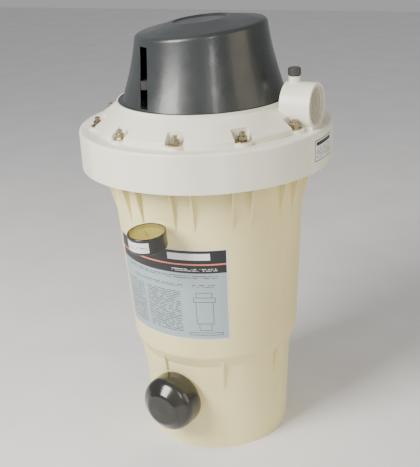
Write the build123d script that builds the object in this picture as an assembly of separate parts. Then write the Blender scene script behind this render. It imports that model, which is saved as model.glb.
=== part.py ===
from build123d import *
from math import cos, degrees, radians
import os

# Pool filter: a footed tank, a bolted head with a side outlet, and a dome cover
# over the rocker that bumps the tube nest.  Millimetres, +Z up, origin at the
# centre of the foot on the floor, +X along the outlet.

# Tank
foot_radius = 137.0
neck_radius = 148.5
neck_height = 187.0
shoulder_radius = 162.0
shoulder_rise = 26.0
body_top_radius = 186.0
body_side_height = 391.0
tank_wall = 5.0
floor_height = 34.0
floor_boss_radius = 20.0
tank_flange_width = 35.0
tank_flange_thickness = 12.0

# Head
skirt_gap = 8.0
skirt_wall = 6.0
skirt_length = 70.0
ring_thickness = 12.0
cone_step = 10.0
cone_rise = 32.0
cone_run = 44.25
head_wall = 8.0
cover_lip_height = 5.0
cover_lip_wall = 3.0
gland_boss_radius = 24.0
gland_boss_height = 8.0

# Flange joint
bolt_count = 11
bolt_first_angle = -12.3
bolt_edge_distance = 22.0
bolt_diameter = 9.5
bolt_hole_clearance = 0.8
hex_across_flats = 14.3
bolt_head_height = 6.0
nut_height = 8.3
washer_diameter = 25.4
washer_thickness = 1.8
bolt_stand_out = 7.0
pocket_lift = 6.0
pocket_side_gap = 1.8
pocket_wall = 2.5
pocket_half_width = 16.0
gasket_thickness = 2.0
gasket_width = 9.0
gasket_inset = 2.0

# Gussets
gusset_thickness = 4.6
flange_gusset_spread = 5.5
flange_gusset_width = 14.0
flange_gusset_length = 98.0
foot_gusset_count = 8
foot_gusset_first_angle = -59.4
foot_gusset_length = 69.0
foot_gusset_inset = 4.0
port_gusset_gap = 3.0

# Outlet and air relief
outlet_rise = 38.5
outlet_radius = 40.3
outlet_wall = 5.3
outlet_web_half = 24.0
outlet_passage_step = 6.0
outlet_cover_gap = 7.5
outlet_length = 55.5
outlet_thread_length = 28.0
relief_inset = 41.0
relief_column_radius = 10.2
relief_column_rise = 10.5
relief_bore_radius = 4.5
relief_knob_radius = 11.4
relief_knob_height = 13.5
relief_seal_thickness = 1.6
relief_stem_length = 16.0

# Dome cover
cover_rim_gap = 2.0
cover_rim_width = 4.0
cover_rim_height = 4.5
cover_lean = 32.5
cover_side_height = 130.0
cover_crown_rise = 13.0
cover_tilt = 4.8
cover_tilt_angle = 27.6
cover_shoulder_round = 9.0
cover_inner_round = 6.0
cover_wall = 3.5
cover_recess_radius = 50.0
cover_recess_depth = 2.5
slot_angle = -68.7
slot_offset = 93.4
slot_width = 14.5
slot_start = 7.0
slot_height = 101.0
lug_angle = 64.6
lug_stand_out = 14.0
lug_width = 26.0
lug_start = 12.0
lug_height = 15.0

# Rocker shaft, its bearings and the lift rod
pivot_distance = 60.0
pivot_rise = 44.0
shaft_radius = 7.0
shaft_far_end = 26.0
shaft_collar_radius = 10.0
shaft_collar = 2.0
handle_arm_width = 12.0
handle_arm_depth = 15.0
handle_arm_length = 156.0
lift_arm_width = 16.0
lift_arm_depth = 20.0
arm_eye_wall = 5.0
bearing_width = 10.0
bearing_wall = 5.0
bearing_foot_length = 46.0
bearing_foot_height = 5.0
bearing_side_gap = 1.5
bearing_screw_radius = 3.0
ear_gap_clearance = 1.0
ear_thickness = 5.0
rod_radius = 6.0
link_pin_radius = 4.0
link_pin_play = 0.9
link_slot_travel = 3.4
clevis_half_length = 6.0
clevis_base = 4.0
clevis_gap = 2.5
gland_nut_height = 8.0
running_clearance = 0.05
seat_clearance = 0.05

# Tube nest
sheet_side_gap = 21.0
sheet_thickness = 12.0
sheet_drop = 19.0
guide_side_gap = 12.0
guide_rise = 37.0
guide_thickness = 8.0
tube_radius = 8.0
tube_rings = ((38.0, 8), (68.0, 14), (98.0, 20), (128.0, 26))
rod_end_length = 10.0
rod_nut_wall = 5.0
rod_nut_height = 8.0
diffuser_radius = 95.0
diffuser_drop = 13.0
diffuser_thickness = 4.0
diffuser_post_radius = 10.0

# Inlet port and its blanking cap
inlet_angle = -95.4
inlet_height = 115.0
inlet_spigot_radius = 44.0
inlet_spigot_wall = 14.0
inlet_spigot_length = 49.0
inlet_cap_wall = 10.0
inlet_cap_skirt = 36.0
inlet_cap_thickness = 22.0
inlet_cap_face = 30.0
inlet_cap_side_round = 22.0
inlet_cap_face_round = 16.0
inlet_cap_dome = 3.0
inlet_gasket_thickness = 3.0

# Drain
drain_angle = 102.0
drain_height = 62.0
drain_bore_radius = 10.0
drain_spigot_wall = 8.0
drain_spigot_length = 19.0
drain_seal_thickness = 2.0
drain_head_height = 12.0
drain_shank_length = 18.0

# Pressure gauge
gauge_angle = -92.1
gauge_drop = 88.5
gauge_gap = 4.6
gauge_tilt = 6.0
gauge_radius = 34.5
gauge_depth = 31.0
gauge_case_wall = 2.5
gauge_case_step = 0.8
gauge_bezel_height = 4.0
gauge_bezel_lip = 3.0
gauge_lens_thickness = 2.0
gauge_lens_sink = 0.8
gauge_dial_depth = 8.0
gauge_dial_thickness = 1.0
gauge_pointer_length = 20.0
gauge_pointer_angle = 225.0
gauge_hub_radius = 3.0
gauge_stem_radius = 6.5
gauge_stem_hex = 14.0
gauge_boss_radius = 15.0
gauge_boss_length = 6.0
gauge_boss_depth = 12.0
sticker_width = 50.0
sticker_height = 19.0
sticker_angle = -6.0

# Labels
label_gap = 0.02
label_thickness = 0.4
main_label_start = -136.0
main_label_end = -53.9
main_label_drop = 178.0
main_label_height = 183.0
ring_label_start = -10.5
ring_label_end = 7.5
ring_label_start_height = 18.0
ring_label_height = 39.0

# Heights that follow from those
shoulder_height = neck_height + shoulder_rise
flange_bottom = shoulder_height + body_side_height
tank_height = flange_bottom + tank_flange_thickness
head_bottom = tank_height + gasket_thickness
ledge_height = head_bottom + ring_thickness
skirt_bottom = ledge_height - skirt_length
cone_foot_height = ledge_height + cone_step
head_top_height = cone_foot_height + cone_rise
pocket_floor = ledge_height + pocket_lift
outlet_height = ledge_height + outlet_rise
relief_column_top = outlet_height + outlet_radius + relief_column_rise
cover_bottom = head_top_height
cover_shoulder_height = head_top_height + cover_side_height
slot_bottom = head_top_height + slot_start
slot_top = slot_bottom + slot_height
lug_bottom = head_top_height + lug_start
lug_top = lug_bottom + lug_height
pivot_height = head_top_height + pivot_rise
clevis_top = pivot_height - lift_arm_depth / 2 - clevis_gap
clevis_bottom = clevis_top - clevis_base
gland_nut_bottom = head_top_height + gland_boss_height
sheet_height = tank_height - sheet_drop - sheet_thickness
guide_height = shoulder_height + guide_rise
rod_bottom = guide_height - rod_end_length
diffuser_height = shoulder_height - diffuser_drop
gauge_middle = skirt_bottom - gauge_drop
main_label_top = tank_height - main_label_drop
main_label_bottom = main_label_top - main_label_height
ring_label_bottom = skirt_bottom + ring_label_start_height
ring_label_top = ring_label_bottom + ring_label_height

# Radii that follow from those
tank_flange_radius = body_top_radius + tank_flange_width
skirt_radius = tank_flange_radius + skirt_gap + skirt_wall
bolt_radius = bolt_diameter / 2
bolt_circle_radius = tank_flange_radius - bolt_edge_distance
pocket_radius = washer_diameter / 2 + pocket_side_gap
cone_foot_radius = bolt_circle_radius + pocket_radius / 2
head_throat_radius = body_top_radius - gasket_inset
head_top_radius = cone_foot_radius - cone_run
cover_rim_radius = head_top_radius - cover_lip_wall - cover_rim_gap
cover_base_radius = cover_rim_radius - cover_rim_width
cover_shoulder_radius = cover_base_radius - cover_lean
lug_reach = cover_rim_radius + lug_stand_out
outlet_bore_radius = outlet_radius - outlet_wall
outlet_passage_radius = outlet_bore_radius - outlet_passage_step
outlet_inner_end = cover_rim_radius + outlet_cover_gap
outlet_mouth = outlet_inner_end + outlet_length
relief_place = outlet_mouth - relief_inset
flange_gusset_reach = body_top_radius + flange_gusset_width
flange_gusset_tip = skirt_bottom - flange_gusset_length
foot_gusset_tip = shoulder_height - foot_gusset_length - foot_gusset_inset
foot_gusset_reach = shoulder_radius - foot_gusset_inset
ear_inside = lift_arm_width / 2 + ear_gap_clearance
handle_arm_tip = handle_arm_length - pivot_distance
bearing_half_length = shaft_radius + bearing_wall
sheet_radius = body_top_radius - tank_wall - sheet_side_gap
guide_radius = shoulder_radius - tank_wall - guide_side_gap
rod_nut_radius = rod_radius + rod_nut_wall
inlet_bore_radius = inlet_spigot_radius - inlet_spigot_wall
inlet_spigot_end = foot_radius + inlet_spigot_length
inlet_cap_radius = inlet_spigot_radius + inlet_cap_wall
inlet_cap_back = inlet_spigot_end - inlet_cap_skirt
inlet_cap_front = inlet_spigot_end + inlet_gasket_thickness + inlet_cap_thickness
drain_spigot_radius = drain_bore_radius + drain_spigot_wall
drain_spigot_end = foot_radius + drain_spigot_length
drain_head_radius = drain_spigot_radius - 2
gauge_top = gauge_depth / 2
gauge_case_radius = gauge_radius - gauge_case_step


def body_radius(height):
    """Outer radius of the tank's tapered side at a height."""
    share = (height - shoulder_height) / (flange_bottom - shoulder_height)
    return shoulder_radius + (body_top_radius - shoulder_radius) * share


gauge_boss_end = body_radius(gauge_middle) + gauge_boss_length
gauge_reach = gauge_boss_end + gauge_gap + gauge_radius


def turned(points, rounds=(), arc=360.0):
    """Solid of revolution about Z from (radius, height) points; rounds are (index, radius)."""
    face = make_face(Plane.XZ * Polyline(*points, close=True))
    for index, radius in rounds:
        target = Vector(points[index][0], 0, points[index][1])
        corner = min(face.vertices(), key=lambda vertex: (Vector(*vertex) - target).length)
        face = fillet(corner, radius)
    return revolve(face, Axis.Z, revolution_arc=arc)


def disc(radius, bottom, top):
    """Round bar on the Z axis between two heights."""
    return Pos(0, 0, (bottom + top) / 2) * Cylinder(radius, top - bottom)


def ring(outer, inner, bottom, top):
    """Round ring on the Z axis between two heights."""
    return disc(outer, bottom, top) - disc(inner, bottom - 1, top + 1)


def block(x_range, y_range, z_range):
    """Box between two corners."""
    size = [high - low for low, high in (x_range, y_range, z_range)]
    centre = [(high + low) / 2 for low, high in (x_range, y_range, z_range)]
    return Pos(*centre) * Box(*size)


def hex_bar(across_flats, bottom, top):
    """Hexagonal bar on the Z axis between two heights."""
    outline = RegularPolygon(across_flats / 2, 6, major_radius=False)
    return Pos(0, 0, bottom) * extrude(outline, amount=top - bottom)


def radial(angle, height, shape):
    """Turn a shape made along +Z so that it points outward at an angle and a height."""
    return Rot(0, 0, angle) * Pos(0, 0, height) * Rot(0, 90, 0) * shape


def bolt_places():
    """Places of the flange bolts on their circle."""
    step = 360.0 / bolt_count
    return [Rot(0, 0, bolt_first_angle + step * index) * Pos(bolt_circle_radius, 0, 0)
            for index in range(bolt_count)]


def repeated(places, shape):
    """One copy of a shape at each place, as separate solids."""
    return Compound(children=[copy_at(place, shape) for place in places])


def copy_at(place, shape):
    """A single solid moved to a place."""
    return (place * shape).solids()[0]


def fin(angle, outline):
    """Thin upright plate in the radial plane at an angle, from (radius, height) points."""
    face = make_face(Plane.XZ * Polyline(*outline, close=True))
    return Rot(0, 0, angle) * extrude(face, amount=gusset_thickness / 2, both=True)


def make_tank_body():
    outside = turned([(0, 0), (foot_radius, 0), (neck_radius, neck_height),
                      (shoulder_radius, shoulder_height), (body_top_radius, flange_bottom),
                      (tank_flange_radius, flange_bottom), (tank_flange_radius, tank_height),
                      (0, tank_height)], rounds=((2, 5.0), (3, 12.0)))
    top_bore = body_top_radius - tank_wall
    inside = turned([(0, floor_height), (foot_radius - tank_wall, floor_height),
                     (neck_radius - tank_wall, neck_height),
                     (shoulder_radius - tank_wall, shoulder_height),
                     (top_bore, flange_bottom), (top_bore, tank_height + 1),
                     (0, tank_height + 1)])
    underside = turned([(floor_boss_radius, -1), (foot_radius - tank_wall, -1),
                        (foot_radius - tank_wall, floor_height - tank_wall),
                        (floor_boss_radius, floor_height - tank_wall)])
    tank = outside
    tank += make_flange_gussets()
    tank += make_foot_gussets()
    tank += radial(inlet_angle, inlet_height, disc(inlet_spigot_radius, foot_radius - 8, inlet_spigot_end))
    tank += radial(drain_angle, drain_height, disc(drain_spigot_radius, foot_radius - 8, drain_spigot_end))
    tank += radial(gauge_angle, gauge_middle, disc(gauge_boss_radius, gauge_boss_end - gauge_boss_depth,
                                                   gauge_boss_end))
    tank -= inside
    tank -= underside
    tank -= radial(inlet_angle, inlet_height, disc(inlet_bore_radius, foot_radius / 2, inlet_spigot_end + 1))
    tank -= radial(drain_angle, drain_height, disc(drain_bore_radius, foot_radius / 2, drain_spigot_end + 1))
    tank -= radial(gauge_angle, gauge_middle, disc(gauge_stem_radius, foot_radius, gauge_boss_end + 1))
    hole = disc(bolt_radius + bolt_hole_clearance, flange_bottom - 1, tank_height + 1)
    for place in bolt_places():
        tank -= place * hole
    return tank


def make_flange_gussets():
    root = 8.0
    outline = [(body_radius(flange_gusset_tip) - 2, flange_gusset_tip),
               (flange_gusset_reach, skirt_bottom), (flange_gusset_reach, flange_bottom + 1),
               (body_radius(flange_bottom) - root / 2, flange_bottom + 1)]
    step = 360.0 / bolt_count
    fins = []
    for index in range(bolt_count):
        middle = bolt_first_angle + step * index
        fins += [fin(middle - flange_gusset_spread, outline), fin(middle + flange_gusset_spread, outline)]
    return fins


def make_foot_gussets():
    lean = (neck_radius - foot_radius) / neck_height
    tip = foot_radius + lean * foot_gusset_tip
    top = shoulder_height - foot_gusset_inset
    outline = [(tip - 2, foot_gusset_tip), (tip + 1, foot_gusset_tip),
               (foot_gusset_reach, top), (neck_radius - 3, top)]
    step = 360.0 / foot_gusset_count
    cap_room = radial(inlet_angle, inlet_height,
                      disc(inlet_cap_radius + port_gusset_gap, foot_radius - 8, inlet_cap_front))
    return [fin(foot_gusset_first_angle + step * index, outline) - cap_room
            for index in range(foot_gusset_count)]


def make_filter_head():
    lip_top = head_top_height + cover_lip_height
    lip_inside = head_top_radius - cover_lip_wall
    head = turned([(0, head_bottom), (skirt_radius, head_bottom), (skirt_radius, ledge_height),
                   (cone_foot_radius, ledge_height), (cone_foot_radius, cone_foot_height),
                   (head_top_radius, head_top_height), (head_top_radius, lip_top),
                   (lip_inside, lip_top), (lip_inside, head_top_height),
                   (0, head_top_height)], rounds=((2, 5.0), (4, 3.0)))
    head += ring(skirt_radius, skirt_radius - skirt_wall, skirt_bottom, head_bottom + 1)
    boss = disc(pocket_radius + pocket_wall, head_bottom, pocket_floor)
    for place in bolt_places():
        head += place * boss
    head += make_outlet_barrel()
    head += Pos(relief_place, 0, 0) * disc(relief_column_radius, outlet_height, relief_column_top)
    head += disc(gland_boss_radius, head_top_height - 1, gland_nut_bottom)
    head -= turned([(0, head_bottom - 1), (head_throat_radius, head_bottom - 1),
                    (head_throat_radius, cone_foot_height - head_wall),
                    (head_top_radius, head_top_height - head_wall), (0, head_top_height - head_wall)])
    head -= radial(0, outlet_height, disc(outlet_bore_radius, outlet_mouth - outlet_thread_length,
                                          outlet_mouth + 1))
    passage_end = outlet_inner_end + tank_wall
    passage = radial(0, outlet_height, disc(outlet_passage_radius, passage_end, outlet_mouth))
    head -= passage
    head -= Pos(relief_place, 0, 0) * disc(relief_bore_radius, outlet_height, relief_column_top + 1)
    head -= disc(rod_radius + 1, head_bottom, gland_nut_bottom + 1)
    head -= disc(2 * rod_radius, head_top_height - 2, gland_nut_bottom + 1)
    pocket_room = block((-pocket_radius, cone_foot_radius - bolt_circle_radius + 1),
                        (-pocket_half_width, pocket_half_width), (pocket_floor, head_top_height))
    pocket_room = fillet(pocket_room.edges().filter_by(Axis.Z).group_by(Axis.X)[0], 4.0)
    for place in bolt_places():
        head -= place * disc(bolt_radius + bolt_hole_clearance, head_bottom - 1, pocket_floor + 1)
        head -= place * (pocket_room - outlet_in(place))
    return head


def make_outlet_barrel():
    """Round barrel of the outlet with a web under it, down to the ring."""
    web = block((outlet_inner_end, outlet_mouth), (-outlet_web_half, outlet_web_half),
                (ledge_height, outlet_height))
    return radial(0, outlet_height, disc(outlet_radius, outlet_inner_end, outlet_mouth)) + web


def outlet_in(place):
    """The outlet barrel in a bolt's own coordinates, so that its pocket spares the barrel."""
    return place.inverse() * make_outlet_barrel()


def cover_top_place():
    """Frame at the middle of the cover's shoulder; the crown slopes up toward one side."""
    return Pos(0, 0, cover_shoulder_height) * Rot(0, 0, cover_tilt_angle) * Rot(0, -cover_tilt, 0)


def cover_form(inset, bottom, crown, shoulder_round):
    """Solid dome: a skin from the base circle to the tilted shoulder, and the crown on it."""
    base = Pos(0, 0, bottom) * Circle(cover_base_radius - inset)
    shoulder = cover_shoulder_radius - inset
    top = cover_top_place() * Pos(0, 0, -inset) * Circle(shoulder)
    form = loft([base, top], ruled=True) + cover_top_place() * Pos(0, 0, -inset) * turned(crown)
    middle = cover_top_place() * Pos(0, 0, -inset) * Pos(shoulder, 0, 0)
    edges = [edge for edge in form.edges().filter_by(GeomType.CIRCLE) if abs(edge.radius - shoulder) < 0.01]
    rim = min(edges, key=lambda edge: edge.distance_to(Vertex(*middle.position)))
    return fillet(rim, shoulder_round)


def make_dome_cover():
    rim_top = cover_bottom + cover_rim_height
    recess_floor = cover_crown_rise - cover_recess_depth
    outer_crown = [(0, 0), (cover_shoulder_radius, 0), (cover_recess_radius + 3, cover_crown_rise),
                   (cover_recess_radius, cover_crown_rise), (cover_recess_radius - 2, recess_floor),
                   (0, recess_floor)]
    inner_crown = [(0, 0), (cover_shoulder_radius - cover_wall, 0),
                   (cover_recess_radius, recess_floor), (0, recess_floor)]
    outside = cover_form(0, cover_bottom, outer_crown, cover_shoulder_round)
    outside += ring(cover_rim_radius, cover_base_radius - 2, cover_bottom, rim_top)
    inside = cover_form(cover_wall, cover_bottom - 1, inner_crown, cover_inner_round)
    lug = block((cover_shoulder_radius, lug_reach), (-lug_width / 2, lug_width / 2), (lug_bottom, lug_top))
    lug = fillet(lug.edges().filter_by(Axis.X), 2.0)
    side = slot_width / 2
    slot = block((0, cover_rim_radius), (-slot_offset - side, -slot_offset + side), (slot_bottom, slot_top))
    cover = outside + Rot(0, 0, lug_angle) * lug - inside
    return cover - Rot(0, 0, slot_angle) * slot


def make_flange_bolts():
    top = pocket_floor + washer_thickness + nut_height + bolt_stand_out
    head_top = flange_bottom - washer_thickness
    shank = disc(bolt_radius, head_top, top)
    shank = chamfer(shank.edges().group_by(Axis.Z)[-1], 1.0)
    return repeated(bolt_places(), shank + hex_bar(hex_across_flats, head_top - bolt_head_height, head_top))


def make_flange_nuts():
    bottom = pocket_floor + washer_thickness
    nut = hex_bar(hex_across_flats, bottom, bottom + nut_height)
    limit = turned([(0, bottom), (hex_across_flats / 2 + 1.2, bottom),
                    (hex_across_flats / 2 + 1.2, bottom + nut_height - 1.0),
                    (hex_across_flats / 2 - 0.6, bottom + nut_height), (0, bottom + nut_height)])
    bore = disc(bolt_radius + seat_clearance, bottom - 1, bottom + nut_height + 1)
    return repeated(bolt_places(), (nut & limit) - bore)


def make_washers(bottom):
    inner = bolt_radius + bolt_hole_clearance / 2
    washer = ring(washer_diameter / 2, inner, bottom, bottom + washer_thickness)
    return repeated(bolt_places(), washer)


def make_flange_gasket():
    inner = head_throat_radius
    return ring(inner + gasket_width, inner, tank_height, head_bottom)


def bearing_middles():
    """Middles of the two shaft bearings along the shaft: beside the handle arm and past the lift arm."""
    near = -slot_offset + handle_arm_width / 2 + bearing_side_gap + bearing_width / 2
    far = shaft_far_end - bearing_side_gap - shaft_collar - bearing_width / 2
    return near, far


def across(middle, radius, width):
    """Round bar along the shaft's direction, centred on the shaft's axis."""
    return Pos(-pivot_distance, middle, pivot_height) * Rot(90, 0, 0) * Cylinder(radius, width)


def make_shaft_bearings():
    bearings = []
    foot_top = head_top_height + bearing_foot_height
    foot = (-pivot_distance - bearing_foot_length / 2, -pivot_distance + bearing_foot_length / 2)
    body = (-pivot_distance - bearing_half_length, -pivot_distance + bearing_half_length)
    for middle in bearing_middles():
        reach = (middle - bearing_width / 2, middle + bearing_width / 2)
        bearing = block(foot, reach, (head_top_height, foot_top))
        bearing += block(body, reach, (head_top_height, pivot_height))
        bearing += across(middle, bearing_half_length, bearing_width)
        bearing -= across(middle, shaft_radius + running_clearance, 2 * bearing_width)
        for place in bearing_screw_places(middle):
            bearing -= place * disc(bearing_screw_radius + seat_clearance, head_top_height - 1, foot_top + 1)
        bearings.append((Rot(0, 0, slot_angle) * bearing).solids()[0])
    return Compound(children=bearings)


def bearing_screw_places(middle):
    """Two screws, one at each end of a bearing's foot."""
    along = (bearing_half_length + bearing_foot_length / 2) / 2
    return [Pos(-pivot_distance + side * along, middle, 0) for side in (-1, 1)]


def make_bearing_screws():
    foot_top = head_top_height + bearing_foot_height
    screw = disc(bearing_screw_radius, head_top_height, foot_top)
    screw += disc(1.5 * bearing_screw_radius, foot_top, foot_top + 2.5)
    places = [place for middle in bearing_middles() for place in bearing_screw_places(middle)]
    return repeated([Rot(0, 0, slot_angle) * place for place in places], screw)


def make_rocker_shaft():
    near = -slot_offset - handle_arm_width / 2
    middle = (near + shaft_far_end) / 2
    shaft = across(middle, shaft_radius, shaft_far_end - near)
    shaft += across(shaft_far_end - shaft_collar / 2, shaft_collar_radius, shaft_collar)
    return Rot(0, 0, slot_angle) * shaft


def arm(middle, width, depth, reach):
    """Arm with a round eye on the shaft, pointing at the slot's side."""
    bar = block((-pivot_distance, reach), (middle - width / 2, middle + width / 2),
                (pivot_height - depth / 2, pivot_height + depth / 2))
    eye = across(middle, shaft_radius + arm_eye_wall, width)
    return bar + eye - across(middle, shaft_radius + seat_clearance, 2 * width)


def make_handle_socket():
    socket = arm(-slot_offset, handle_arm_width, handle_arm_depth, handle_arm_tip)
    return Rot(0, 0, slot_angle) * socket


def make_lift_arm():
    lift_arm = arm(0, lift_arm_width, lift_arm_depth, clevis_half_length + link_slot_travel + 4)
    slot_half = link_pin_radius + link_pin_play
    slot = Box(2 * link_slot_travel, 60, 2 * slot_half)
    for side in (-1, 1):
        slot += Pos(side * link_slot_travel, 0, 0) * Rot(90, 0, 0) * Cylinder(slot_half, 60)
    lift_arm -= Pos(0, 0, pivot_height) * slot
    return Rot(0, 0, slot_angle) * lift_arm


def make_rod_clevis():
    outer = ear_inside + ear_thickness
    clevis = block((-clevis_half_length, clevis_half_length), (-outer, outer), (clevis_bottom, clevis_top))
    clevis += disc(rod_radius + 3, clevis_bottom, clevis_top)
    for side in (-1, 1):
        reach = sorted((side * ear_inside, side * outer))
        clevis += block((-clevis_half_length, clevis_half_length), reach, (clevis_bottom, pivot_height))
        middle = sum(reach) / 2
        clevis += Pos(0, middle, pivot_height) * Rot(90, 0, 0) * Cylinder(clevis_half_length, ear_thickness)
    clevis -= Pos(0, 0, pivot_height) * Rot(90, 0, 0) * Cylinder(link_pin_radius + seat_clearance, 60)
    clevis -= disc(rod_radius + seat_clearance, clevis_bottom - 1, clevis_top + 1)
    return Rot(0, 0, slot_angle) * clevis


def make_clevis_pin():
    half = ear_inside + ear_thickness
    pin = Cylinder(link_pin_radius, 2 * half + 1) + Pos(0, 0, half + 1.5) * Cylinder(link_pin_radius + 2, 2)
    return Rot(0, 0, slot_angle) * Pos(0, 0, pivot_height) * Rot(90, 0, 0) * pin


def make_lift_rod():
    return disc(rod_radius, rod_bottom, clevis_top)


def make_rod_seal():
    return ring(2 * rod_radius, rod_radius + running_clearance, head_top_height - 2, gland_nut_bottom)


def make_gland_nut():
    top = gland_nut_bottom + gland_nut_height
    return hex_bar(2 * gland_boss_radius - 6, gland_nut_bottom, top) - disc(
        rod_radius + running_clearance, gland_nut_bottom - 1, top + 1)


def make_upper_sheet():
    top = sheet_height + sheet_thickness
    return ring(sheet_radius, rod_radius + seat_clearance, sheet_height, top)


def make_lower_guide():
    return ring(guide_radius, rod_radius + seat_clearance, guide_height, guide_height + guide_thickness)


def make_flex_tubes():
    tube = disc(tube_radius, guide_height + guide_thickness, sheet_height)
    places = []
    for circle, count in tube_rings:
        places += [Rot(0, 0, 360.0 * index / count) * Pos(circle, 0, 0) for index in range(count)]
    return repeated(places, tube)


def make_rod_nuts():
    top = sheet_height + sheet_thickness
    upper = ring(rod_nut_radius, rod_radius + seat_clearance, top, top + rod_nut_height)
    lower = ring(rod_nut_radius, rod_radius + seat_clearance, sheet_height - rod_nut_height, sheet_height)
    return Compound(children=[upper.solids()[0], lower.solids()[0]])


def make_inlet_diffuser():
    plate = disc(diffuser_radius, diffuser_height, diffuser_height + diffuser_thickness)
    return plate + disc(diffuser_post_radius, floor_height, diffuser_height)


def make_inlet_cap():
    seat = inlet_spigot_end + inlet_gasket_thickness + seat_clearance
    cap = turned([(0, inlet_cap_back), (inlet_cap_radius - 1.0, inlet_cap_back),
                  (inlet_cap_radius, inlet_cap_back + 6),
                  (inlet_cap_radius, inlet_cap_front - inlet_cap_thickness),
                  (inlet_cap_face, inlet_cap_front - inlet_cap_dome), (0, inlet_cap_front)],
                 rounds=((3, inlet_cap_side_round), (4, inlet_cap_face_round)))
    cap -= disc(inlet_spigot_radius + running_clearance, inlet_cap_back - 1, seat)
    return radial(inlet_angle, inlet_height, cap)


def make_inlet_gasket():
    gasket = ring(inlet_spigot_radius - 1, inlet_bore_radius, inlet_spigot_end,
                  inlet_spigot_end + inlet_gasket_thickness)
    return radial(inlet_angle, inlet_height, gasket)


def make_drain_plug():
    seat = drain_spigot_end + drain_seal_thickness
    plug = disc(drain_bore_radius - running_clearance, seat - drain_shank_length, seat + 1)
    plug += disc(drain_head_radius, seat, seat + 3)
    plug += hex_bar(1.5 * drain_head_radius, seat + 3, seat + drain_head_height)
    return radial(drain_angle, drain_height, plug)


def make_drain_seal():
    seal = ring(drain_head_radius - 1, drain_bore_radius + seat_clearance, drain_spigot_end,
                drain_spigot_end + drain_seal_thickness)
    return radial(drain_angle, drain_height, seal)


def make_relief_knob():
    bottom = relief_column_top + relief_seal_thickness
    top = bottom + relief_knob_height
    knob = turned([(0, bottom), (relief_knob_radius, bottom), (relief_knob_radius, top - 2),
                   (0.75 * relief_knob_radius, top), (0, top)], rounds=((3, 1.5), (1, 0.8)))
    knob -= disc(0.6 * relief_bore_radius, bottom - 1, bottom + 0.5 * relief_knob_height)
    return Pos(relief_place, 0, 0) * knob


def make_relief_stem():
    bottom = relief_column_top + relief_seal_thickness
    stem = disc(relief_bore_radius - running_clearance, bottom - relief_stem_length, bottom)
    stem += disc(0.6 * relief_bore_radius, bottom - 1, bottom + 0.5 * relief_knob_height)
    return Pos(relief_place, 0, 0) * stem


def make_relief_seal():
    inner = relief_bore_radius + seat_clearance
    return Pos(relief_place, 0, 0) * ring(relief_column_radius - 1, inner, relief_column_top,
                                          relief_column_top + relief_seal_thickness)


def gauge_place():
    """Middle of the gauge's case, tilted outward, with its dial facing up."""
    return Rot(0, 0, gauge_angle) * Pos(gauge_reach, 0, gauge_middle) * Rot(0, gauge_tilt, 0)


def make_gauge_case():
    rim = gauge_top - gauge_bezel_height
    case = disc(gauge_case_radius, -gauge_top, rim)
    case = fillet(case.edges().group_by(Axis.Z)[0], 3.0)
    case -= disc(gauge_case_radius - gauge_case_wall, -gauge_top + gauge_case_wall, rim + 1)
    return gauge_place() * case


def make_gauge_bezel():
    rim = gauge_top - gauge_bezel_height
    outline = [(gauge_radius - gauge_bezel_lip, rim), (gauge_radius, rim), (gauge_radius, gauge_top),
               (gauge_radius - gauge_bezel_lip, gauge_top)]
    return gauge_place() * turned(outline, rounds=((2, 1.6),))


def make_gauge_lens():
    top = gauge_top - gauge_lens_sink
    radius = gauge_radius - gauge_bezel_lip - seat_clearance
    return gauge_place() * disc(radius, top - gauge_lens_thickness, top)


def make_gauge_dial():
    top = gauge_top - gauge_dial_depth
    radius = gauge_case_radius - gauge_case_wall - seat_clearance
    return gauge_place() * disc(radius, top - gauge_dial_thickness, top)


def make_gauge_pointer():
    low = gauge_top - gauge_dial_depth + 0.6
    pointer = disc(gauge_hub_radius, low, low + 1.6)
    blade = make_face(Polyline((-7, -1.2), (0, -1.6), (gauge_pointer_length, 0), (0, 1.6), (-7, 1.2),
                               close=True))
    pointer += Pos(0, 0, low) * extrude(blade, amount=0.8)
    return gauge_place() * Rot(0, 0, gauge_pointer_angle) * pointer


def make_gauge_stem():
    reach = gauge_reach - gauge_case_radius / cos(radians(gauge_tilt)) + gauge_case_wall
    stem = disc(gauge_stem_radius - seat_clearance, gauge_boss_end - gauge_boss_depth, reach)
    stem += hex_bar(gauge_stem_hex, gauge_boss_end, reach)
    case_room = gauge_place() * disc(gauge_case_radius, -gauge_depth, gauge_depth)
    return radial(gauge_angle, gauge_middle, stem) - case_room


def make_gauge_sticker():
    inner = gauge_case_radius + label_gap
    half = degrees(sticker_width / 2 / gauge_radius)
    low = gauge_top - gauge_bezel_height - 2 - sticker_height
    outline = [(inner, low), (inner + label_thickness, low), (inner + label_thickness, low + sticker_height),
               (inner, low + sticker_height)]
    return gauge_place() * Rot(0, 0, sticker_angle - half) * turned(outline, arc=2 * half)


def make_main_label():
    low, high = main_label_bottom, main_label_top
    inner = [body_radius(low) + label_gap, body_radius(high) + label_gap]
    outline = [(inner[0], low), (inner[0] + label_thickness, low),
               (inner[1] + label_thickness, high), (inner[1], high)]
    return Rot(0, 0, main_label_start) * turned(outline, arc=main_label_end - main_label_start)


def make_ring_label():
    low, high = ring_label_bottom, ring_label_top
    inner = skirt_radius + label_gap
    outline = [(inner, low), (inner + label_thickness, low), (inner + label_thickness, high), (inner, high)]
    return Rot(0, 0, ring_label_start) * turned(outline, arc=ring_label_end - ring_label_start)


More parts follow.
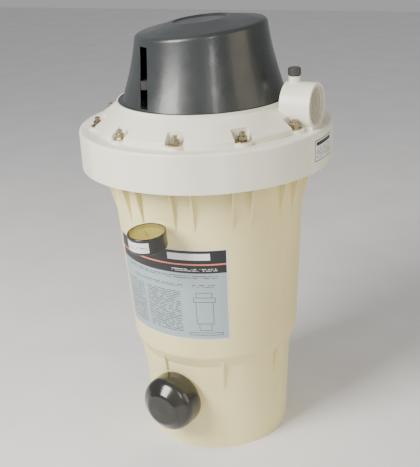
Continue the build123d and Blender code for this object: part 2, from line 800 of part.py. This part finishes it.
parts = {
    "tank_body": make_tank_body,
    "filter_head": make_filter_head,
    "dome_cover": make_dome_cover,
    "flange_bolts": make_flange_bolts,
    "flange_nuts": make_flange_nuts,
    "top_washers": lambda: make_washers(pocket_floor),
    "bottom_washers": lambda: make_washers(flange_bottom - washer_thickness),
    "flange_gasket": make_flange_gasket,
    "shaft_bearings": make_shaft_bearings,
    "bearing_screws": make_bearing_screws,
    "rocker_shaft": make_rocker_shaft,
    "handle_socket": make_handle_socket,
    "lift_arm": make_lift_arm,
    "rod_clevis": make_rod_clevis,
    "clevis_pin": make_clevis_pin,
    "lift_rod": make_lift_rod,
    "rod_seal": make_rod_seal,
    "gland_nut": make_gland_nut,
    "upper_tube_sheet": make_upper_sheet,
    "lower_tube_guide": make_lower_guide,
    "flex_tubes": make_flex_tubes,
    "rod_nuts": make_rod_nuts,
    "inlet_diffuser": make_inlet_diffuser,
    "inlet_cap": make_inlet_cap,
    "inlet_gasket": make_inlet_gasket,
    "drain_plug": make_drain_plug,
    "drain_seal": make_drain_seal,
    "relief_knob": make_relief_knob,
    "relief_stem": make_relief_stem,
    "relief_seal": make_relief_seal,
    "gauge_case": make_gauge_case,
    "gauge_bezel": make_gauge_bezel,
    "gauge_lens": make_gauge_lens,
    "gauge_dial": make_gauge_dial,
    "gauge_pointer": make_gauge_pointer,
    "gauge_stem": make_gauge_stem,
    "gauge_sticker": make_gauge_sticker,
    "main_label": make_main_label,
    "ring_label": make_ring_label,
}

os.makedirs("parts", exist_ok=True)
for name, make in parts.items():
    export_step(make(), f"parts/{name}.step")
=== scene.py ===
import math

import bmesh
import bpy
import numpy as np
from mathutils import Matrix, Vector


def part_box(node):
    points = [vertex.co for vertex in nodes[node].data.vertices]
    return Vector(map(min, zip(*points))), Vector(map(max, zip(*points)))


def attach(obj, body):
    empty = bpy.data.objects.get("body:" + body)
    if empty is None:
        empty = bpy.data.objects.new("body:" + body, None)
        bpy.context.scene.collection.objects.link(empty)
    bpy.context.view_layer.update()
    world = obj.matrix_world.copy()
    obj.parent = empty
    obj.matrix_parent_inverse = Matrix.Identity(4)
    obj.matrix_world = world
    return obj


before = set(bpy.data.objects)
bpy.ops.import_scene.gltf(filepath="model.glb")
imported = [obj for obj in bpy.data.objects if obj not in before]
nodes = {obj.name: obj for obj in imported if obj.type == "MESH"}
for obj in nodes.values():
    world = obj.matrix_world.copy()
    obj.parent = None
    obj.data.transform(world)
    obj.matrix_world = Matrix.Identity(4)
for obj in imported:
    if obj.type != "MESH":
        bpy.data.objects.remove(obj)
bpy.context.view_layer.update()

# ---------------------------------------------------------------- camera
# The camera looks slightly down at the filter from the gauge side, close
# enough for strong perspective. Distances are from the foot's centre.
camera_distance = 1.610
camera_height = 1.0275
camera_azimuth = math.radians(27.6)
camera_pitch = 0.3695
camera_roll = -0.0556
camera_yaw = 0.0082


def turn_z(angle):
    """Rotation about the upright axis."""
    return Matrix.Rotation(angle, 4, "Z")


camera_data = bpy.data.cameras.new("camera")
camera_data.lens = 68.0
camera_data.sensor_width = 36.0
camera_data.shift_x = 0.0113
camera_data.shift_y = -0.0024
camera = bpy.data.objects.new("camera", camera_data)
bpy.context.scene.collection.objects.link(camera)
aim = turn_z(camera_yaw) @ Matrix.Rotation(math.pi / 2 - camera_pitch, 4, "X") @ turn_z(camera_roll)
stand = Matrix.Translation((0, -camera_distance, camera_height))
camera.matrix_world = turn_z(camera_azimuth) @ stand @ aim
bpy.context.scene.camera = camera

# ---------------------------------------------------------------- light
# A broad key from the camera's left, a weak warm fill from the right and a
# soft room all round. The tall strip draws the long highlight on the cover.
room_colour = (0.80, 0.80, 0.82, 1.0)
room_strength = 0.50
lamp_target_height = 0.45


def area_lamp(name, azimuth, distance, height, width, tall, power, colour):
    """Area light at an azimuth from the camera's side, aimed at the filter."""
    data = bpy.data.lights.new(name, "AREA")
    data.shape = "RECTANGLE"
    data.size = width
    data.size_y = tall
    data.energy = power
    data.color = colour
    lamp = bpy.data.objects.new(name, data)
    bpy.context.scene.collection.objects.link(lamp)
    pitch = math.atan2(height - lamp_target_height, distance)
    place = Matrix.Translation((0, -distance, height)) @ Matrix.Rotation(math.pi / 2 - pitch, 4, "X")
    lamp.matrix_world = turn_z(camera_azimuth + azimuth) @ place
    return lamp


world = bpy.data.worlds.new("room")
world.use_nodes = True
background = world.node_tree.nodes["Background"]
background.inputs["Color"].default_value = room_colour
background.inputs["Strength"].default_value = room_strength
bpy.context.scene.world = world
area_lamp("key", math.radians(-52), 2.1, 1.9, 1.1, 1.1, 120.0, (1.0, 0.98, 0.94))
area_lamp("fill", math.radians(62), 2.4, 1.1, 1.4, 1.6, 17.0, (1.0, 0.88, 0.66))
area_lamp("strip", math.radians(14), 1.9, 1.5, 0.22, 0.9, 8.0, (1.0, 0.97, 0.92))

# ---------------------------------------------------------------- floor
# A plain pale floor under the foot, far wider than the filter.
floor_half = 6.0


def surface_piece(name, points, material, close_u=False):
    """Mesh from a grid of points (rows, columns, 3), with one quad between neighbours.

    Where the rows close into a ring, a face closes each end of the tube.
    """
    rows, columns = points.shape[:2]
    index = np.arange(rows * columns).reshape(rows, columns)
    across = np.roll(index, -1, axis=0) if close_u else index[1:]
    here = index if close_u else index[:-1]
    quads = np.stack([here[:, :-1], here[:, 1:], across[:, 1:], across[:, :-1]], axis=-1).reshape(-1, 4)
    mesh = bpy.data.meshes.new(name)
    ends = [index[:, 0].tolist(), index[:, -1].tolist()] if close_u else []
    mesh.from_pydata(points.reshape(-1, 3).tolist(), [], quads.tolist() + ends)
    if close_u:
        shell = bmesh.new()
        shell.from_mesh(mesh)
        bmesh.ops.recalc_face_normals(shell, faces=shell.faces)
        shell.to_mesh(mesh)
        shell.free()
    mesh.polygons.foreach_set("use_smooth", [True] * len(mesh.polygons))
    mesh.materials.append(material)
    piece = bpy.data.objects.new(name, mesh)
    bpy.context.scene.collection.objects.link(piece)
    return piece


def new_material(name, colour, roughness, variety=0.06, grain=60.0, bump=0.02, metallic=0.0,
                 stain=None, stain_amount=0.0, coat=0.0, edge=0.0008):
    """Plastic or metal whose colour, roughness and surface vary from place to place.

    Broad noise shifts the colour, streaks that run down the piece carry the
    stain colour, fine noise sets the bump, and edges are rounded in shading.
    """
    material = bpy.data.materials.new(name)
    material.use_nodes = True
    tree = material.node_tree
    shader = tree.nodes["Principled BSDF"]
    shader.inputs["Metallic"].default_value = metallic
    shader.inputs["Coat Weight"].default_value = coat
    shader.inputs["Coat Roughness"].default_value = 0.08
    place = tree.nodes.new("ShaderNodeTexCoord").outputs["Object"]

    def noise(scale, detail, stretch=(1, 1, 1)):
        mapping = tree.nodes.new("ShaderNodeMapping")
        mapping.inputs["Scale"].default_value = stretch
        tree.links.new(place, mapping.inputs["Vector"])
        node = tree.nodes.new("ShaderNodeTexNoise")
        node.inputs["Scale"].default_value = scale
        node.inputs["Detail"].default_value = detail
        tree.links.new(mapping.outputs["Vector"], node.inputs["Vector"])
        return node.outputs["Fac"]

    def spread(value, low, high, out_low, out_high):
        node = tree.nodes.new("ShaderNodeMapRange")
        limits = {"From Min": low, "From Max": high, "To Min": out_low, "To Max": out_high}
        for socket, number in limits.items():
            node.inputs[socket].default_value = number
        tree.links.new(value, node.inputs["Value"])
        return node.outputs["Result"]

    def mixed(factor, first, second):
        node = tree.nodes.new("ShaderNodeMix")
        node.data_type = "RGBA"
        tree.links.new(factor, node.inputs["Factor"])
        for socket, colour_in in ((node.inputs["A"], first), (node.inputs["B"], second)):
            if isinstance(colour_in, bpy.types.NodeSocket):
                tree.links.new(colour_in, socket)
            else:
                socket.default_value = (*colour_in, 1.0)
        return node.outputs["Result"]

    darker = tuple(channel * (1 - variety) for channel in colour)
    lighter = tuple(min(1.0, channel * (1 + variety)) for channel in colour)
    shade = mixed(spread(noise(6.0, 5.0), 0.35, 0.65, 0, 1), darker, lighter)
    if stain:
        streaks = spread(noise(9.0, 6.0, (1, 1, 0.12)), 0.48, 0.75, 0, stain_amount)
        shade = mixed(streaks, shade, stain)
    tree.links.new(shade, shader.inputs["Base Color"])
    rough = spread(noise(18.0, 4.0), 0.3, 0.7, max(0.02, roughness - 0.08), min(1.0, roughness + 0.08))
    tree.links.new(rough, shader.inputs["Roughness"])
    bevel = tree.nodes.new("ShaderNodeBevel")
    bevel.inputs["Radius"].default_value = edge
    raise_node = tree.nodes.new("ShaderNodeBump")
    raise_node.inputs["Strength"].default_value = bump
    raise_node.inputs["Distance"].default_value = 0.002
    tree.links.new(noise(grain, 3.0), raise_node.inputs["Height"])
    tree.links.new(bevel.outputs["Normal"], raise_node.inputs["Normal"])
    tree.links.new(raise_node.outputs["Normal"], shader.inputs["Normal"])
    return material


floor_paint = new_material("floor_paint", (0.80, 0.79, 0.79), 0.75, variety=0.03, grain=30.0)
side = np.linspace(-floor_half, floor_half, 13)
floor_grid = np.stack(np.meshgrid(side, side, [0.0], indexing="ij"), axis=-1)[:, :, 0, :]
floor = surface_piece("floor", floor_grid, floor_paint)


def dress(material, *names):
    """Give CAD nodes a finish in place of the plain one."""
    for name in names:
        mesh = nodes[name].data
        mesh.materials.clear()
        mesh.materials.append(material)


# ---------------------------------------------------------------- tank
# The tapered body with its foot, gussets and bosses: cream moulded plastic,
# slightly yellowed, with faint streaks where water has run down.
tank_cream = (0.86, 0.77, 0.40)
water_stain = (0.60, 0.45, 0.16)
tank_plastic = new_material("tank_plastic", tank_cream, 0.42, variety=0.05, bump=0.05,
                            stain=water_stain, stain_amount=0.35)
dress(tank_plastic, "tank_body")

# ---------------------------------------------------------------- head
# The bolted ring, cone and outlet barrel, moulded in the same plastic but
# whiter, with grime in streaks. The outlet has a moulded thread inside and a
# raised mould line round its barrel.
head_white = (0.82, 0.81, 0.68)
head_plastic = new_material("head_plastic", head_white, 0.38, variety=0.03, bump=0.04,
                            stain=(0.48, 0.44, 0.30), stain_amount=0.40)
dress(head_plastic, "filter_head")

outlet_height = 0.6685
outlet_bore = 0.035
thread_start = 0.1945
thread_pitch = 0.0032
thread_turns = 7.0
thread_depth = 0.0013
thread_root = 0.0003
thread_crest_share = 0.20
thread_foot_share = 0.84
thread_run_out = 0.9
thread_least_height = 0.1
thread_points_per_turn = 64
barrel_radius = 0.0403
mould_line_place = 0.188
mould_line_width = 0.0010
mould_line_height = 0.0004
mould_line_root = 0.0002


def around_outlet(along, radius, angle):
    """Points at a distance along the outlet axis, at a radius and an angle round it."""
    return np.stack([along, radius * np.cos(angle), outlet_height + radius * np.sin(angle)], axis=-1)


def thread_ridge():
    """Helix of pitch p: along = start + p * angle / turn, with a sloped ridge that sinks in at both ends."""
    points = int(thread_turns) * thread_points_per_turn + 1
    angle = np.linspace(0, thread_turns * 2 * math.pi, points)[None, :]
    fade = np.clip(np.minimum(angle, angle[:, ::-1]) / thread_run_out, thread_least_height, 1.0)
    shares = np.array([-thread_foot_share, -thread_crest_share, thread_crest_share, thread_foot_share])
    across = shares[:, None] * thread_pitch / 2
    depth = np.array([-thread_root, thread_depth, thread_depth, -thread_root])[:, None]
    inward = np.where(depth > 0, depth * fade, depth)
    along = thread_start + thread_pitch * angle / (2 * math.pi) + across
    return around_outlet(along, outlet_bore - inward, angle + 0 * across)


def raised_line():
    """Low round-topped band on the barrel: height = h * cos, across half a wave of its width."""
    across = np.linspace(-0.5, 0.5, 7)[:, None]
    angle = np.linspace(0, 2 * math.pi, 129)[None, :]
    along = mould_line_place + across * mould_line_width + 0 * angle
    radius = barrel_radius - mould_line_root + mould_line_height * np.cos(across * math.pi) + 0 * angle
    return around_outlet(along, radius, angle + 0 * across)


outlet_thread = surface_piece("outlet_thread", thread_ridge(), head_plastic, close_u=True)
barrel_line = surface_piece("barrel_mould_line", raised_line(), head_plastic)
for piece in (outlet_thread, barrel_line):
    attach(piece, "shell")

# ---------------------------------------------------------------- cover
# Glossy black dome, dulled a little by dust.
cover_black = (0.022, 0.026, 0.027)
cover_gloss = new_material("cover_gloss", cover_black, 0.33, variety=0.12, bump=0.012,
                           stain=(0.06, 0.065, 0.062), stain_amount=0.25, coat=0.12)
dress(cover_gloss, "dome_cover")

# ---------------------------------------------------------------- fasteners
# Zinc-plated bolts, nuts and washers of the flange, dulled and browned.
plated = new_material("plated", (0.50, 0.43, 0.29), 0.28, variety=0.15, grain=500.0, bump=0.008,
                      metallic=1.0, stain=(0.12, 0.07, 0.03), stain_amount=0.6, edge=0.0003)
dress(plated, "flange_bolts", "flange_nuts", "top_washers", "bottom_washers")

# ---------------------------------------------------------------- inner parts
# What the cover and tank hide: bare steel rod and shaft, white sheets, woven
# tubes and black rubber seals.
bare_steel = new_material("bare_steel", (0.60, 0.60, 0.58), 0.32, variety=0.08, grain=250.0, metallic=1.0)
inner_white = new_material("inner_white", (0.78, 0.78, 0.74), 0.45)
woven = new_material("woven", (0.74, 0.72, 0.64), 0.85, variety=0.1, grain=900.0, bump=0.3,
                     stain=(0.42, 0.36, 0.26), stain_amount=0.5)
seal_rubber = new_material("seal_rubber", (0.03, 0.03, 0.03), 0.7, variety=0.2, grain=200.0, bump=0.08)
black_moulding = new_material("black_moulding", (0.04, 0.04, 0.04), 0.42, variety=0.15, grain=160.0,
                              bump=0.05, stain=(0.12, 0.115, 0.10), stain_amount=0.3)
dress(bare_steel, "bearing_screws", "rocker_shaft", "rod_clevis", "clevis_pin", "lift_rod", "rod_nuts")
dress(inner_white, "shaft_bearings", "upper_tube_sheet", "lower_tube_guide", "inlet_diffuser", "relief_stem")
dress(woven, "flex_tubes")
dress(seal_rubber, "flange_gasket", "rod_seal", "inlet_gasket", "drain_seal", "relief_seal")
dress(black_moulding, "handle_socket", "lift_arm", "gland_nut", "drain_plug", "relief_knob")

# ---------------------------------------------------------------- inlet cap
# Glossy black blanking cap, scuffed by hands.
cap_gloss = new_material("cap_gloss", (0.016, 0.016, 0.014), 0.2, variety=0.15, bump=0.02,
                         stain=(0.08, 0.075, 0.055), stain_amount=0.35, coat=0.25)
dress(cap_gloss, "inlet_cap")

# ---------------------------------------------------------------- gauge
# Black case and bezel round a yellowed dial under a clear window.
gauge_black = new_material("gauge_black", (0.020, 0.020, 0.017), 0.25, variety=0.15, bump=0.02, coat=0.3)
dial_yellow = new_material("dial_yellow", (0.50, 0.41, 0.06), 0.5, variety=0.12,
                           stain=(0.36, 0.27, 0.08), stain_amount=0.5)
pointer_dark = new_material("pointer_dark", (0.05, 0.04, 0.035), 0.5)
dull_brass = new_material("dull_brass", (0.50, 0.36, 0.16), 0.4, variety=0.2, metallic=1.0)
dress(gauge_black, "gauge_case", "gauge_bezel")
dress(dial_yellow, "gauge_dial")
dress(pointer_dark, "gauge_pointer")
dress(dull_brass, "gauge_stem")
window_opacity = 0.3
yellowed_window = new_material("yellowed_window", (0.58, 0.48, 0.14), 0.14, variety=0.08, bump=0.004,
                               coat=0.5)
yellowed_window.node_tree.nodes["Principled BSDF"].inputs["Alpha"].default_value = window_opacity
dress(yellowed_window, "gauge_lens")

# ---------------------------------------------------------------- labels
# Printed plastic films stuck on flat: a large one on the body, a small one on
# the ring and one on the gauge. They carry only plain bars, rules and rows.
film_white = (0.80, 0.80, 0.77)
print_black = (0.014, 0.015, 0.018)
print_grey = (0.05, 0.055, 0.06)
print_blue = (0.34, 0.41, 0.43)
print_salmon = (0.75, 0.22, 0.12)
row_pitch = 0.0036
row_share = 0.42
dash_scale = 210.0
dash_threshold = 0.44


def printed(name, marks, centre=(0.0, 0.0)):
    """White film with marks printed in turn, each a range of azimuth and height.

    Azimuth is arctan2(y, x) about the centre. A mark of rows shows only where
    the fraction of height / pitch is low, broken into dashes by fine noise.
    """
    material = new_material(name, film_white, 0.4, variety=0.03, bump=0.01)
    tree = material.node_tree
    shader = tree.nodes["Principled BSDF"]
    mapping = tree.nodes.new("ShaderNodeMapping")
    mapping.inputs["Location"].default_value = (-centre[0], -centre[1], 0.0)
    tree.links.new(tree.nodes.new("ShaderNodeTexCoord").outputs["Object"], mapping.inputs["Vector"])
    split = tree.nodes.new("ShaderNodeSeparateXYZ")
    tree.links.new(mapping.outputs["Vector"], split.inputs["Vector"])

    def maths(operation, *values):
        node = tree.nodes.new("ShaderNodeMath")
        node.operation = operation
        for socket, value in zip(node.inputs, values):
            if isinstance(value, bpy.types.NodeSocket):
                tree.links.new(value, socket)
            else:
                socket.default_value = value
        return node.outputs["Value"]

    def within(value, low, high):
        return maths("COMPARE", value, (low + high) / 2, (high - low) / 2)

    azimuth = maths("ARCTAN2", split.outputs["Y"], split.outputs["X"])
    height = split.outputs["Z"]
    dashes = tree.nodes.new("ShaderNodeTexNoise")
    dashes.inputs["Scale"].default_value = dash_scale
    tree.links.new(mapping.outputs["Vector"], dashes.inputs["Vector"])
    row = maths("LESS_THAN", maths("FRACT", maths("DIVIDE", height, row_pitch)), row_share)
    rows = maths("MULTIPLY", row, maths("GREATER_THAN", dashes.outputs["Fac"], dash_threshold))
    shade = shader.inputs["Base Color"].links[0].from_socket
    for colour, low, high, bottom, top, style in marks:
        inside = maths("MULTIPLY", within(azimuth, math.radians(low), math.radians(high)),
                       within(height, bottom, top))
        if style == "rows":
            inside = maths("MULTIPLY", inside, rows)
        layer = tree.nodes.new("ShaderNodeMix")
        layer.data_type = "RGBA"
        tree.links.new(inside, layer.inputs["Factor"])
        tree.links.new(shade, layer.inputs["A"])
        layer.inputs["B"].default_value = (*colour, 1.0)
        shade = layer.outputs["Result"]
    tree.links.new(shade, shader.inputs["Base Color"])
    return material


def outlined(low, high, bottom, top, line_angle=0.35, line=0.0011):
    """Two marks that leave a thin dark outline round a pale field."""
    return [(print_grey, low, high, bottom, top, "solid"),
            (print_blue, low + line_angle, high - line_angle, bottom + line, top - line, "solid")]


body_marks = [
    (print_blue, -135.4, -54.5, 0.2565, 0.4365, "solid"),
    (print_black, -135.4, -54.5, 0.3920, 0.4365, "solid"),
    (print_salmon, -135.4, -54.5, 0.4078, 0.4106, "solid"),
    (film_white, -90.0, -64.0, 0.4180, 0.4310, "solid"),
    (film_white, -88.0, -60.0, 0.3965, 0.4010, "rows"),
    (print_grey, -126.0, -60.0, 0.3800, 0.3870, "rows"),
    (print_grey, -120.0, -82.0, 0.3640, 0.3700, "rows"),
    (print_grey, -76.0, -62.0, 0.3640, 0.3700, "rows"),
    (print_grey, -131.0, -112.0, 0.2700, 0.3560, "rows"),
    (print_grey, -109.0, -84.0, 0.2700, 0.3560, "rows"),
]
for low, high, bottom, top in ((-74.0, -64.0, 0.3420, 0.3530), (-76.0, -62.0, 0.3330, 0.3430),
                               (-74.5, -63.5, 0.2880, 0.3340), (-73.0, -65.0, 0.2740, 0.2890),
                               (-80.0, -58.0, 0.2640, 0.2700)):
    body_marks += outlined(low, high, bottom, top)
ring_marks = [
    (print_black, -10.2, 7.2, 0.5785, 0.6165, "solid"),
    (film_white, -9.8, 6.8, 0.5800, 0.6150, "solid"),
    (print_black, -9.0, 6.0, 0.6060, 0.6130, "solid"),
    (print_grey, -9.0, 6.0, 0.5830, 0.6040, "rows"),
]
gauge_low, gauge_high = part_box("gauge_case")
gauge_centre = tuple((gauge_low[axis] + gauge_high[axis]) / 2 for axis in range(2))
sticker_low, sticker_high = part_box("gauge_sticker")
sticker_middle = (sticker_low[2] + sticker_high[2]) / 2
sticker_row_reach = 0.0032
sticker_bottom = sticker_middle - sticker_row_reach
sticker_top = sticker_middle + sticker_row_reach
sticker_marks = [(print_grey, -134.0, -62.0, sticker_bottom, sticker_top, "rows")]
dress(printed("body_label_print", body_marks), "main_label")
dress(printed("ring_label_print", ring_marks), "ring_label")
dress(printed("gauge_sticker_print", sticker_marks, gauge_centre), "gauge_sticker")
